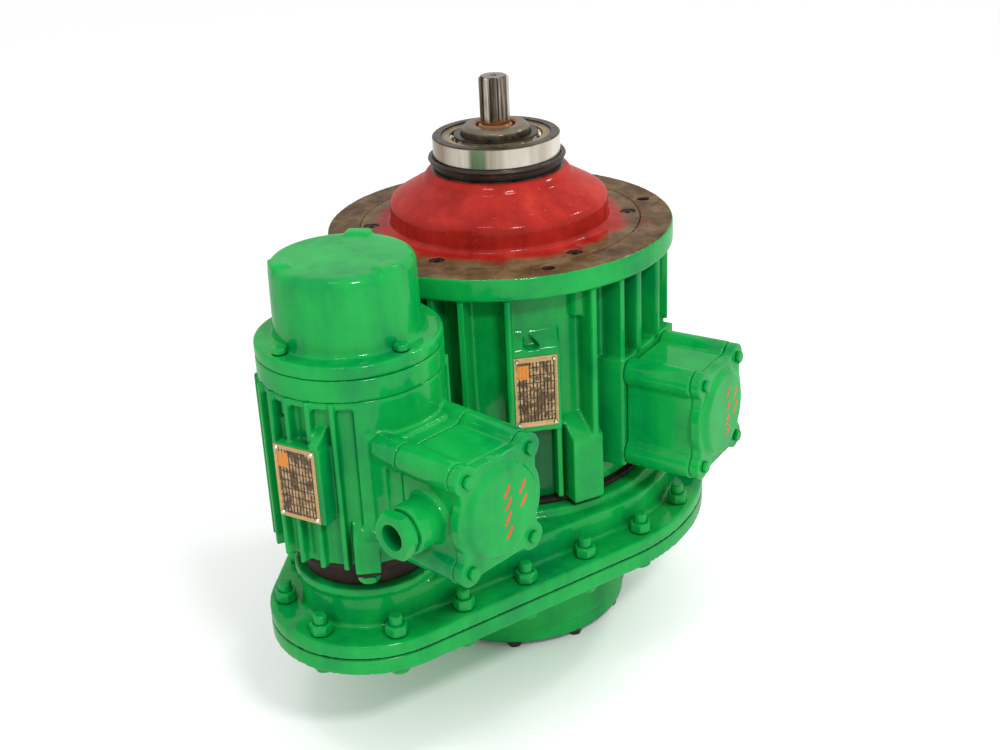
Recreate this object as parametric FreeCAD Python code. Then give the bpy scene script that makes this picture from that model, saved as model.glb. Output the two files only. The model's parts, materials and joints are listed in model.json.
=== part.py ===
"""Two-motor hoist drive: a main brake motor and a small creep-speed motor joined by an oval spur gearbox.

Millimetres. The main shaft line is the Z axis, +Z towards the splined shaft end, and z = 0 is the
machined mounting face of the big flange. The creep motor stands beside it on the -X side.
"""
import FreeCAD, Part
import os
from math import acos, cos, degrees, hypot, pi, radians, sin, sqrt, tan

V = FreeCAD.Vector
UP = V(0, 0, 1)

# ---------------------------------------------------------------- driving dimensions
MAIN = (0.0, 0.0)
AUX = (-252.0, 0.0)
FIT = 0.05                      # radial gap of a seated or running fit
APART = 0.3                     # gap between curved faces that only nearly touch

FLANGE_R, FLANGE_LOW = 165.0, -22.0
FLANGE_PITCH_R, FLANGE_HOLE_R, FLANGE_HOLE_ANGLE = 147.0, 6.0, -43.0
COVER_SEAT_R, COVER_SEAT_DEPTH = 134.0, 12.0
COVER_SCREW_R, COVER_SCREW_ANGLE = 123.0, 3.0
FRAME_BORE, FRAME_WALL_R, FRAME_FIN_R, FRAME_LOW = 118.0, 136.0, 160.0, -233.0
FIN_WIDTH = 6.0
FIN_ANGLES = (-163, -148, -119, -107, -98, -84, -68, -53, -38, -23, -8,
              7, 22, 37, 52, 82, 97, 112, 127, 157, 172, 187)
FOOT_ANGLE, FOOT_WIDTH, FOOT_BOLT_R = -122.0, 32.0, 143.0
MAIN_BOX_ANGLE, MAIN_BOX_Z, MAIN_BOX_SEAT, MAIN_BOX_FACE = -91.3, -156.0, 156.0, 222.0

NECK_R, NECK_TOP, SPLINE_TOP = 32.5, 93.4, 138.0
DRUM_BEARING = dict(bore=32.5, inner=39.5, outer=51.6, rim=60.0, low=61.5, seat=66.0, high=84.5)
BALL_R, BALL_COUNT = 8.3, 10

RIM_AUX_R, RIM_MAIN_R, WALL_INSET, CASE_WALL = 92.4, 196.0, 30.0, 12.0
RIM_TOP, SEAM, RIM_LOW = -272.0, -285.5, -301.0
GASKET = 0.8
PLATE_TOP, CAVITY_TOP, CAVITY_LOW = -245.0, -253.0, -293.0
BOSS_TOP, BOSS_R = -238.0, 153.0
STUD_INSET, STUD_COUNT, STUD_R = 15.0, 20, 6.0
DRUM_WELL_R, DRUM_WELL_BORE, WELL_LOW, BOTTOM = 116.0, 91.0, -393.0, -412.0
BOTTOM_BOLTS, BOTTOM_BOLT_R, BOTTOM_BOLT_ANGLE = 10, 103.0, -151.6

AUX_FLANGE_R, AUX_FIN_R, AUX_WALL_R, AUX_BORE = 79.0, 81.5, 72.0, 62.0
AUX_FRAME_TOP, AUX_FRAME_LOW, AUX_SHIELD_TOP, AUX_COVER_TOP = -49.5, -203.0, -30.5, -18.5
CAP_R, CAP_TOP = 61.8, 47.0
AUX_FIN_START, AUX_FOOT_ANGLE, AUX_FOOT_R, AUX_FEET = 158.4, -143.7, 79.0, 3
AUX_BOX_ANGLE, AUX_BOX_Z, AUX_BOX_SEAT, AUX_BOX_FACE = -102.3, -132.8, 98.0, 155.5
AUX_BOSS_R, AUX_BOSS_TOP = 66.0, -232.0
AUX_PLAIN = 44.0                # half angle of the plain wall round the terminal box

BOX_U, BOX_W = 36.0, 40.8       # half spacing of the terminal cover bolts, across and up
ENTRY_REACH, ENTRY_R, ENTRY_BORE, NUT_BORE = 71.0, 20.5, 13.5, 11.0

MAIN_PLATE = dict(distance=149.0, width=40, low=-151, high=-82, angle=-139.0, at=MAIN)
AUX_PLATE = dict(distance=86.5, width=41, low=-155, high=-89, angle=180.0, at=AUX)

CLUSTER = (-156.0, 0.0)
FIRST = dict(module=3.0, pinion=16, wheel=48)      # creep shaft to cluster, 96 mm apart
SECOND = dict(module=4.0, pinion=18, wheel=60)     # cluster to main line, 156 mm apart
BACKLASH = 0.35

MAIN_ROTOR = [(66.0, -52.0), (74.0, -180.0)]        # radius and height at the small and the large end
AUX_ROTOR = [(30.0, -94.0), (35.0, -172.0)]
CONE_TOP, CONE_LOW, CONE_TOP_R, CONE_LOW_R, LINING = -340.0, -376.0, 76.0, 68.0, 4.0
DRUM_R, DRUM_BORE, HUB_R = 88.0, 81.0, 45.0
AUX_CONE = [(54.0, -31.0), (50.0, -45.5)]           # brake seat in the end shield, radius and height
AUX_COVER_BOLT_R = 69.5
AUX_COVER_ANGLES = [163.5, 253.5, 343.5, 73.5]
TANGENT = degrees(acos((RIM_AUX_R - RIM_MAIN_R) / hypot(AUX[0], AUX[1])))   # where the rim's arcs end


# ---------------------------------------------------------------- shape helpers
def turned(outline, at=MAIN):
    """Solid turned about the upright line through `at` from a closed (radius, height) outline."""
    points = [V(at[0] + r, at[1], z) for r, z in outline]
    face = Part.Face(Part.makePolygon(points + points[:1]))
    return face.revolve(V(at[0], at[1], 0), UP, 360)


def disc(r, low, high, at=MAIN):
    return Part.makeCylinder(r, high - low, V(at[0], at[1], low))


def tube(r_in, r_out, low, high, at=MAIN):
    return disc(r_out, low, high, at).cut(disc(r_in, low, high, at))


def slab(x, y, z):
    """Box from three (low, high) pairs."""
    return Part.makeBox(x[1] - x[0], y[1] - y[0], z[1] - z[0], V(x[0], y[0], z[0]))


def turn(shape, angle, at=MAIN):
    copy = shape.copy()
    copy.rotate(V(at[0], at[1], 0), UP, angle)
    return copy


def shifted(shape, at):
    copy = shape.copy()
    copy.translate(V(at[0], at[1], 0))
    return copy


def polar(r, angle, at=MAIN):
    return at[0] + r * cos(radians(angle)), at[1] + r * sin(radians(angle))


def rib(r_in, r_out, width, low, high, angle, at=MAIN):
    """Upright block that points away from the axis at `at`."""
    block = slab((at[0] + r_in, at[0] + r_out), (at[1] - width / 2, at[1] + width / 2), (low, high))
    return turn(block, angle, at)


def gusset(r_in, r_out, width, low, high_in, high_out, angle, at=MAIN):
    """Rib whose top slopes from high_in at the wall to high_out at its outer edge."""
    x_in, x_out, y = at[0] + r_in, at[0] + r_out, at[1] - width / 2
    points = [V(x_in, y, low), V(x_out, y, low), V(x_out, y, high_out), V(x_in, y, high_in)]
    return turn(Part.Face(Part.makePolygon(points + points[:1])).extrude(V(0, width, 0)), angle, at)


def hexagon(flats, low, high, at, angle=0.0):
    """Hex prism with its top and bottom corners turned off."""
    corners = [V(at[0] + flats / sqrt(3) * cos(radians(60 * k + angle)),
                 at[1] + flats / sqrt(3) * sin(radians(60 * k + angle)), low) for k in range(7)]
    prism = Part.Face(Part.makePolygon(corners)).extrude(V(0, 0, high - low))
    r, height = flats / sqrt(3), high - low
    slope = min(0.12 * flats, 0.3 * height)
    barrel = turned([(0, low), (r - slope, low), (r + 0.1, low + slope * 0.6),
                     (r + 0.1, high - slope * 0.6), (r - slope, high), (0, high)], at)
    return prism.common(barrel)


def joined(shapes):
    return shapes[0].multiFuse(shapes[1:]).removeSplitter()


def drilled(shape, holes):
    return shape.cut(Part.makeCompound(holes))


def save(name, shapes):
    """Write one sub-part. A list is a group of identical separate solids."""
    shape = Part.makeCompound(shapes) if isinstance(shapes, list) else shapes
    if not shape.isValid() or not shape.Solids:
        raise ValueError(name + " is not a valid solid")
    shape.exportStep("parts/" + name + ".step")


def spaced(start, count):
    return [start + 360.0 * k / count for k in range(count)]


# ---------------------------------------------------------------- gears, bearings and springs
def gear_outline(module, teeth, phase):
    """Closed points of an involute spur gear; a tooth is centred on `phase` degrees."""
    pitch = module * teeth / 2
    base, tip, root = pitch * cos(radians(20)), pitch + module, pitch - 1.25 * module
    half = pi / (2 * teeth) - BACKLASH / (4 * pitch)
    swing = tan(radians(20)) - radians(20)

    def flank(r):
        roll = acos(min(1.0, base / r))
        return half + swing - (tan(roll) - roll)

    low = max(root + 0.1 * module, base)
    radii = [low, (low + pitch) / 2, pitch, (pitch + tip) / 2, tip]
    points = []
    for k in range(teeth):
        middle = radians(phase) + 2 * pi * k / teeth
        left = [(root, flank(low))] + [(r, flank(r)) for r in radii]
        points += [(r, middle - a) for r, a in left] + [(r, middle + a) for r, a in reversed(left)]
    return [(r * cos(a), r * sin(a)) for r, a in points]


def gear(module, teeth, phase, low, high, at):
    points = [V(at[0] + x, at[1] + y, low) for x, y in gear_outline(module, teeth, phase)]
    return Part.Face(Part.makePolygon(points + points[:1])).extrude(V(0, 0, high - low))


def roller_bearing(shaft_r, roller_r, rim_r, low, high, at, count=12):
    """Outer ring and rollers of a cylindrical roller bearing that runs straight on its shaft."""
    middle = shaft_r + roller_r + FIT
    race = middle + roller_r + FIT
    lip = race - 0.5 * roller_r
    ring = turned([(lip, low), (rim_r, low), (rim_r, high), (lip, high), (lip, high - 2), (race, high - 2),
                   (race, low + 2), (lip, low + 2)], at)
    rollers = [disc(roller_r, low + 2.3, high - 2.3, polar(middle, a, at)) for a in spaced(0, count)]
    return ring, rollers


def coil_spring(mean_r, wire_r, low, high, turns, at):
    """Helical spring between two heights."""
    helix = Part.makeHelix((high - low - 2 * wire_r) / turns, high - low - 2 * wire_r, mean_r)
    start = helix.Edges[0].valueAt(helix.Edges[0].FirstParameter)
    section = Part.Wire(Part.makeCircle(wire_r, start, V(0, 1, 0)))
    coil = Part.Wire(helix.Edges).makePipeShell([section], True, True)
    coil.translate(V(at[0], at[1], low + wire_r))
    return coil


# ---------------------------------------------------------------- main motor
def main_frame():
    body = [turned([(FRAME_BORE, FRAME_LOW), (FRAME_WALL_R, FRAME_LOW), (FRAME_WALL_R, FLANGE_LOW - 4),
                    (FRAME_WALL_R + 4, FLANGE_LOW), (FLANGE_R - 1.5, FLANGE_LOW),
                    (FLANGE_R, FLANGE_LOW + 1.5),
                    (FLANGE_R, -1.5), (FLANGE_R - 1.5, 0), (COVER_SEAT_R + FIT, 0),
                    (COVER_SEAT_R + FIT, -COVER_SEAT_DEPTH), (FRAME_BORE, -COVER_SEAT_DEPTH)])]
    box_z = (MAIN_BOX_Z - 54, MAIN_BOX_Z + 54)
    for angle in FIN_ANGLES:
        low = box_z[1] + 1 if abs(angle - MAIN_BOX_ANGLE) < 27 else FRAME_LOW + 2
        body.append(rib(FRAME_WALL_R - 2, FRAME_FIN_R, FIN_WIDTH, low, FLANGE_LOW, angle))
    for angle in spaced(FOOT_ANGLE, 4):
        body.append(gusset(FRAME_WALL_R - 3, FRAME_FIN_R, FOOT_WIDTH, FRAME_LOW, -146, -168, angle))
        body.append(disc(9.5, -52, FLANGE_LOW, polar(FRAME_WALL_R + 1, angle + 1.6)))
    plate_angle = MAIN_PLATE["angle"]
    body.append(rib(FRAME_WALL_R - 3, 149, 47, -157, -76, plate_angle))
    body.append(gusset(FRAME_WALL_R - 3, 149, 47, -80, -58, -76, plate_angle))
    body.append(rib(FRAME_WALL_R - 3, 149, 5, FRAME_LOW + 4, -150, plate_angle + 8))
    pad = slab((-57, 47), (112, MAIN_BOX_SEAT), box_z)
    body.append(turn(pad, MAIN_BOX_ANGLE - 90))
    frame = joined(body)
    holes = [disc(FRAME_BORE, FRAME_LOW - 1, -COVER_SEAT_DEPTH - 1)]
    holes += [disc(FLANGE_HOLE_R, FLANGE_LOW - 1, 1, polar(FLANGE_PITCH_R, a))
              for a in spaced(FLANGE_HOLE_ANGLE, 4)]
    holes += [disc(4, -40, 0, polar(COVER_SCREW_R, a)) for a in spaced(COVER_SCREW_ANGLE, 6)]
    holes += [disc(5.2, FRAME_LOW - 1, -190, polar(FOOT_BOLT_R, a)) for a in spaced(FOOT_ANGLE, 4)]
    lead_way = Part.makeCylinder(8, 60, V(0, 100, -190), V(0, 1, 0))
    holes.append(turn(lead_way, MAIN_BOX_ANGLE - 90))
    notch = [V(10, 137, -75.5), V(-7, 137, -75.5), V(7, 137, -60)]
    wedge = Part.Face(Part.makePolygon(notch + notch[:1])).extrude(V(0, 20, 0))
    holes.append(turn(wedge, plate_angle - 90))
    return drilled(frame, holes + plate_pins(MAIN_PLATE, 1.1, 5))


def front_cover():
    outline = [(18.5, NECK_TOP), (NECK_R - 4, NECK_TOP), (NECK_R - FIT, NECK_TOP - 4), (NECK_R - FIT, 53.5),
               (58, 53.5), (60, 54.3), (66, 52), (69.5, 47.5), (70.5, 43.8), (73, 42.8), (99, 28),
               (102.6, 25), (104, 21),
               (104, 4), (106, 1), (110, 0), (COVER_SEAT_R, 0), (COVER_SEAT_R, -COVER_SEAT_DEPTH),
               (FRAME_BORE - FIT, -COVER_SEAT_DEPTH), (FRAME_BORE - FIT, -20), (97, -20), (95, 12),
               (66, 29), (50, 32), (50, 8), (42.5 + FIT, 8), (42.5 + FIT, 31), (26, 31), (26, 40),
               (18.5, 44)]
    cover = turned(outline)
    holes = []
    for a in spaced(COVER_SCREW_ANGLE, 6):
        spot = polar(COVER_SCREW_R, a)
        holes += [disc(4.6, -COVER_SEAT_DEPTH - 10, 1, spot), disc(7, -7.5, 1, spot)]
    return drilled(cover, holes)


def socket_screw(shank_r, head_r, low, seat, top, at):
    head = disc(head_r, seat, top, at)
    socket = hexagon(shank_r * 1.3, top - 0.6 * (top - seat), top + 1, at)
    return joined([disc(shank_r, low, seat, at), head]).cut(socket)


def stop_ring():
    return turned([(NECK_R + FIT, 53.6), (57.5, 53.6), (60, 55), (61, 58), (61.4, 60.5), (64.2, 61.6),
                   (65, 63.2),
                   (64.4, 64.8), (62, 65.4), (60.5, 65), (60.5, 61.3), (NECK_R + FIT, 61.3)])


def drum_bearing():
    """Deep-groove ball bearing of 65 x 120 x 23 mm on the neck of the front cover."""
    b = DRUM_BEARING
    middle_r, middle_z = (b["bore"] + b["rim"]) / 2, (b["low"] + b["high"]) / 2
    groove = Part.makeTorus(middle_r, BALL_R + 0.15, V(0, 0, middle_z))
    edge = 1.2
    inner = turned([(b["bore"], b["low"]), (b["inner"], b["low"]), (b["inner"], b["high"]),
                    (b["bore"] + edge, b["high"]), (b["bore"], b["high"] - edge)]).cut(groove)
    outer = turned([(b["outer"], b["low"] + 0.2), (b["rim"] - 2.5, b["low"] + 0.2),
                    (b["rim"] - 1.5, b["low"] + edge),
                    (b["rim"] - 1.5, b["seat"]), (b["rim"], b["seat"]), (b["rim"], b["high"] - edge),
                    (b["rim"] - edge, b["high"]), (b["outer"], b["high"])]).cut(groove)
    balls = []
    pockets = []
    for a in spaced(0, BALL_COUNT):
        x, y = polar(middle_r, a)
        balls.append(Part.makeSphere(BALL_R, V(x, y, middle_z)))
        outward = V(cos(radians(a)), sin(radians(a)), 0)
        pockets.append(Part.makeCylinder(BALL_R + 0.25, 16, V(x, y, middle_z) - outward * 8, outward))
    cage = drilled(tube(middle_r - 2.2, middle_r + 2.2, middle_z - 9.6, middle_z + 9.6), pockets)
    return inner, outer, balls, cage


def main_shaft():
    shaft = turned([(0, -390), (9, -390), (10, -389), (10, -373), (15, -373), (15, -338), (17, -338),
                    (17, -246.5),
                    (22.5, -246.5), (22.5, -210), (27, -210), (27, -30), (22.5, -30), (22.5, 33), (16, 36),
                    (16, 92), (14, 94), (14, SPLINE_TOP - 2), (12, SPLINE_TOP), (3.2, SPLINE_TOP),
                    (1.5, SPLINE_TOP - 3), (1.5, SPLINE_TOP - 9), (0, SPLINE_TOP - 10)])
    teeth = [rib(8, 15, 6, 96, SPLINE_TOP, a) for a in spaced(0, 6)]
    keep = joined([disc(11.5, 96, SPLINE_TOP)] + teeth)
    waste = tube(11.4, 16, 97, SPLINE_TOP + 0.5).cut(keep)
    return shaft.cut(waste)


def rotor_core(ends, shaft_r, ring, at):
    """Slotted cone of laminations with a cast end ring of height `ring` at each end."""
    (r_top, top), (r_low, low) = ends
    body = turned([(shaft_r, low), (r_low, low), (r_top, top), (shaft_r, top)], at)
    rings = [turned([(0.62 * r_low, low - ring), (r_low - 4, low - ring), (r_low - 1, low),
                     (0.6 * r_low, low)], at),
             turned([(0.6 * r_top, top), (r_top - 1, top), (r_top - 4, top + ring),
                     (0.62 * r_top, top + ring)], at)]
    slots = [rib(r_low - 1.2, r_low + 4, 2.0, low - 1, top + 1, a, at) for a in spaced(0, 30)]
    return joined([body] + rings).cut(Part.makeCompound(slots))


def stator_core(ends, outer_r, gap, at):
    (r_top, top), (r_low, low) = ends
    return turned([(r_low + gap, low), (outer_r, low), (outer_r, top), (r_top + gap, top)], at)


def windings(r_in, r_out, low, high, at):
    """One end of the winding, a bundle with rounded edges."""
    soft = 0.25 * (high - low)
    return turned([(r_in + soft, low), (r_out - soft, low), (r_out, low + soft), (r_out, high - soft),
                   (r_out - soft, high), (r_in + soft, high), (r_in, high - soft), (r_in, low + soft)], at)


def main_lower_shield():
    shield = turned([(26, -249), (62 - FIT, -249), (62 - FIT, BOSS_TOP), (142, BOSS_TOP), (142, FRAME_LOW),
                     (FRAME_BORE - FIT, FRAME_LOW), (FRAME_BORE - FIT, -214),
                     (108, -214), (104, -227), (54, -227), (50, -224), (42.5 + FIT, -224),
                     (42.5 + FIT, -246.5),
                     (26, -246.5)])
    ears = [rib(138, 155, FOOT_WIDTH - 4, BOSS_TOP, FRAME_LOW, a) for a in spaced(FOOT_ANGLE, 4)]
    holes = [disc(5.6, BOSS_TOP - 1, FRAME_LOW + 1, polar(FOOT_BOLT_R, a)) for a in spaced(FOOT_ANGLE, 4)]
    return drilled(joined([shield] + ears), holes)


# ---------------------------------------------------------------- terminal boxes, built facing +Y
def box_frame(shape, angle, at):
    return shifted(turn(shape, angle - 90), at)


def along(r, start, end, u, z):
    """Cylinder that runs along +Y."""
    return Part.makeCylinder(r, end - start, V(u, start, z), V(0, 1, 0))


def box_corners(z):
    return [(u, z + w) for u in (-BOX_U, BOX_U) for w in (-BOX_W, BOX_W)]


def terminal_box(seat, face, z, side):
    corners = box_corners(z)
    body = [slab((-42, 42), (seat, face), (z - 47, z + 47))]
    body += [along(13, seat, face, u, w) for u, w in corners]
    reach = Part.makeCylinder(ENTRY_R, ENTRY_REACH - 36, V(36 * side, seat + 30, z), V(side, 0, 0))
    collar = Part.makeCone(ENTRY_R + 4, ENTRY_R, 5, V(41 * side, seat + 30, z), V(side, 0, 0))
    box = joined(body + [reach, collar])
    room = slab((-34, 34), (seat + 8, face + 1), (z - 39, z + 39))
    room = room.cut(Part.makeCompound([along(11, seat, face + 2, u, w) for u, w in corners]))
    holes = [room, Part.makeCylinder(ENTRY_BORE, ENTRY_REACH, V(10 * side, seat + 30, z), V(side, 0, 0)),
             along(8, seat - 1, seat + 10, 0, z - 32)]
    holes += [along(3.1, face - 18, face + 1, u, w) for u, w in corners]
    return drilled(box, holes)


def terminal_cover(face, z):
    plate = [along(48, face, face + 10, 0, z), slab((-43, 43), (face, face + 10), (z - 47.5, z + 47.5))]
    plate += [along(12.5, face, face + 10, u, w) for u, w in box_corners(z)]
    dome = Part.makeCone(42, 37.5, 4.5, V(0, face + 10, z), V(0, 1, 0))
    return drilled(joined(plate + [dome]), [along(3.4, face - 1, face + 11, u, w)
                                            for u, w in box_corners(z)])


def cover_bolt(face, u, z):
    """Hex bolt of a terminal cover."""
    head = hexagon(10, 0, 4.2, (0, 0))
    head.rotate(V(0, 0, 0), V(1, 0, 0), -90)
    head.translate(V(u, face + 10, z))
    return joined([head, along(3, face - 14, face + 10.5, u, z)])


def gland_nut(seat, z, side):
    """Hollow hex nut that closes on the cable; its thread reaches into the entry tube."""
    hexa = hexagon(36.5, 2.5, 13.5, (0, 0), 30)
    nut = joined([hexa, disc(17, 0, 4), disc(ENTRY_BORE - FIT, -11, 1)]).cut(disc(NUT_BORE, -12, 15))
    nut.rotate(V(0, 0, 0), V(0, 1, 0), 90 * side)
    nut.translate(V(ENTRY_REACH * side, seat + 30, z))
    return nut


def terminal_block(seat, z):
    """Moulded block with six brass studs' sockets."""
    block = slab((-28, 28), (seat + 8, seat + 20), (z - 16, z + 16))
    walls = [slab((u - 1, u + 1), (seat + 20, seat + 26), (z - 16, z + 16)) for u in (-27, -9, 9, 27)]
    holes = [along(3, seat + 12, seat + 21, u, z + w) for u in (-18, 0, 18) for w in (-8, 8)]
    return drilled(joined([block] + walls), holes)


# ---------------------------------------------------------------- gearbox
def egg_face(inset, z):
    """Outline round both shaft lines: two arcs joined by their tangents."""
    r_aux, r_main = RIM_AUX_R - inset, RIM_MAIN_R - inset

    def spot(r, angle, at):
        x, y = polar(r, angle, at)
        return V(x, y, z)

    edges = [Part.Arc(spot(r_aux, TANGENT, AUX), spot(r_aux, 180, AUX),
                      spot(r_aux, -TANGENT, AUX)).toShape(),
             Part.makeLine(spot(r_aux, -TANGENT, AUX), spot(r_main, -TANGENT, MAIN)),
             Part.Arc(spot(r_main, -TANGENT, MAIN), spot(r_main, 0, MAIN),
                      spot(r_main, TANGENT, MAIN)).toShape(),
             Part.makeLine(spot(r_main, TANGENT, MAIN), spot(r_aux, TANGENT, AUX))]
    return Part.Face(Part.Wire(edges))


def egg(inset, low, high):
    return egg_face(inset, low).extrude(V(0, 0, high - low))


def stud_spots():
    """Stud places, evenly spaced along the rim, the first at the -X tip."""
    r_aux, r_main = RIM_AUX_R - STUD_INSET, RIM_MAIN_R - STUD_INSET
    arc_aux = r_aux * radians(180 - TANGENT)
    straight = sqrt(AUX[0] ** 2 - (RIM_MAIN_R - RIM_AUX_R) ** 2)
    arc_main = r_main * radians(TANGENT)
    half = arc_aux + straight + arc_main
    spots = []
    for k in range(STUD_COUNT // 2 + 1):
        run = half * k / (STUD_COUNT // 2)
        if run <= arc_aux:
            x, y = polar(r_aux, 180 + degrees(run / r_aux), AUX)
        elif run <= arc_aux + straight:
            start, end = polar(r_aux, -TANGENT, AUX), polar(r_main, -TANGENT, MAIN)
            part = (run - arc_aux) / straight
            x, y = start[0] + part * (end[0] - start[0]), start[1] + part * (end[1] - start[1])
        else:
            x, y = polar(r_main, -TANGENT + degrees((run - arc_aux - straight) / r_main), MAIN)
        spots.append((x, y))
        if 0 < k < STUD_COUNT // 2:
            spots.append((x, -y))
    return spots


def upper_housing():
    low = SEAM + GASKET / 2
    shell = joined([egg(0, low, RIM_TOP), egg(WALL_INSET, RIM_TOP - 1, PLATE_TOP),
                    disc(BOSS_R, PLATE_TOP - 1, BOSS_TOP),
                    disc(RIM_AUX_R - WALL_INSET, PLATE_TOP - 1, -240, AUX),
                    disc(AUX_BOSS_R, -240, AUX_BOSS_TOP, AUX), disc(24, PLATE_TOP - 1, BOSS_TOP, CLUSTER)])
    room = egg(WALL_INSET + CASE_WALL, low - 1, CAVITY_TOP)
    holes = [room, disc(62, CAVITY_TOP - 1, BOSS_TOP + 1), disc(40, CAVITY_TOP - 1, AUX_BOSS_TOP + 1, AUX),
             disc(16 + FIT, CAVITY_TOP - 1, -241, CLUSTER)]
    holes += [disc(STUD_R + 0.5, low - 1, RIM_TOP + 1, spot) for spot in stud_spots()]
    holes += [disc(5.6, CAVITY_TOP - 1, BOSS_TOP + 1, polar(FOOT_BOLT_R, a)) for a in spaced(FOOT_ANGLE, 4)]
    return drilled(shell, holes)


def lower_housing():
    top = SEAM - GASKET / 2
    shell = joined([egg(0, RIM_LOW, top), disc(DRUM_WELL_R, WELL_LOW, RIM_LOW + 1),
                    disc(22, -309, RIM_LOW + 1, CLUSTER)])
    holes = [egg(WALL_INSET + CASE_WALL, CAVITY_LOW, top + 1),
             disc(16 + FIT, -306, CAVITY_LOW + 1, CLUSTER),
             disc(52 + FIT, -322, CAVITY_LOW + 1)]
    well = turned([(66, -306), (DRUM_WELL_BORE - 4, -306), (DRUM_WELL_BORE, -310),
                   (DRUM_WELL_BORE, WELL_LOW - 1),
                   (0, WELL_LOW - 1), (0, -322), (66, -322)])
    holes.append(well)
    holes += [disc(STUD_R + 0.5, RIM_LOW - 1, top + 1, spot) for spot in stud_spots()]
    holes += [disc(4 + FIT, WELL_LOW - 1, WELL_LOW + 22, spot) for spot in bottom_bolt_spots()]
    return drilled(shell, holes)


def gasket():
    low, high = SEAM - GASKET / 2, SEAM + GASKET / 2
    sheet = egg(0.15, low, high)
    holes = [egg(WALL_INSET + CASE_WALL, low - 1, high + 1)]
    holes += [disc(STUD_R + 0.5, low - 1, high + 1, spot) for spot in stud_spots()]
    return drilled(sheet, holes)


def rim_bolt(at, angle):
    head = hexagon(18, RIM_LOW - 8, RIM_LOW, at, angle)
    shank = turned([(0, RIM_LOW - 1), (STUD_R, RIM_LOW - 1), (STUD_R, -254.5), (STUD_R - 1.2, -253),
                    (0, -253)], at)
    return joined([head, shank])


def rim_nut(at, angle):
    thread = disc(STUD_R + FIT, RIM_TOP - 1, RIM_TOP + 12, at)
    return hexagon(18, RIM_TOP, RIM_TOP + 10.5, at, angle).cut(thread)


def bottom_cover():
    spigot = DRUM_WELL_BORE - 0.1
    cover = turned([(0, BOTTOM), (110, BOTTOM), (113, BOTTOM + 3), (113, WELL_LOW), (spigot, WELL_LOW),
                    (spigot, WELL_LOW + 4), (84, WELL_LOW + 4), (70, WELL_LOW - 6), (0, WELL_LOW - 6)])
    return drilled(cover, [disc(4.6, BOTTOM - 1, WELL_LOW + 1, spot) for spot in bottom_bolt_spots()])


def bottom_bolt_spots():
    return [polar(BOTTOM_BOLT_R, a) for a in spaced(BOTTOM_BOLT_ANGLE, BOTTOM_BOLTS)]


# ---------------------------------------------------------------- brake of the main motor
def brake_drum():
    return turned([(30, -274.5), (HUB_R, -274.5), (HUB_R, -322.5), (56, -326), (DRUM_R - 3, -326),
                   (DRUM_R, -329),
                   (DRUM_R, -380), (DRUM_BORE, -380), (DRUM_BORE, -334), (60, -334), (30, -331)])


def brake_seat_ring():
    rim = DRUM_BORE - FIT
    return turned([(CONE_TOP_R, CONE_TOP), (rim, CONE_TOP), (rim, -378), (CONE_LOW_R - 0.4, -378),
                   (CONE_LOW_R, CONE_LOW)])


def brake_lining():
    gap = APART
    return turned([(CONE_TOP_R - gap, CONE_TOP), (CONE_LOW_R - gap, CONE_LOW),
                   (CONE_LOW_R - gap - LINING, CONE_LOW),
                   (CONE_TOP_R - gap - LINING, CONE_TOP)])


def brake_wheel():
    gap = APART + LINING
    return turned([(15 + FIT, -371), (28, -371), (28, -362), (CONE_LOW_R - gap - 10, -362),
                   (CONE_LOW_R - gap - 9, -376),
                   (CONE_LOW_R - gap, -376), (CONE_TOP_R - gap, -340), (CONE_TOP_R - gap - 9, -340),
                   (CONE_LOW_R - gap - 8, -354), (28, -354), (28, -340), (15 + FIT, -340)])


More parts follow.
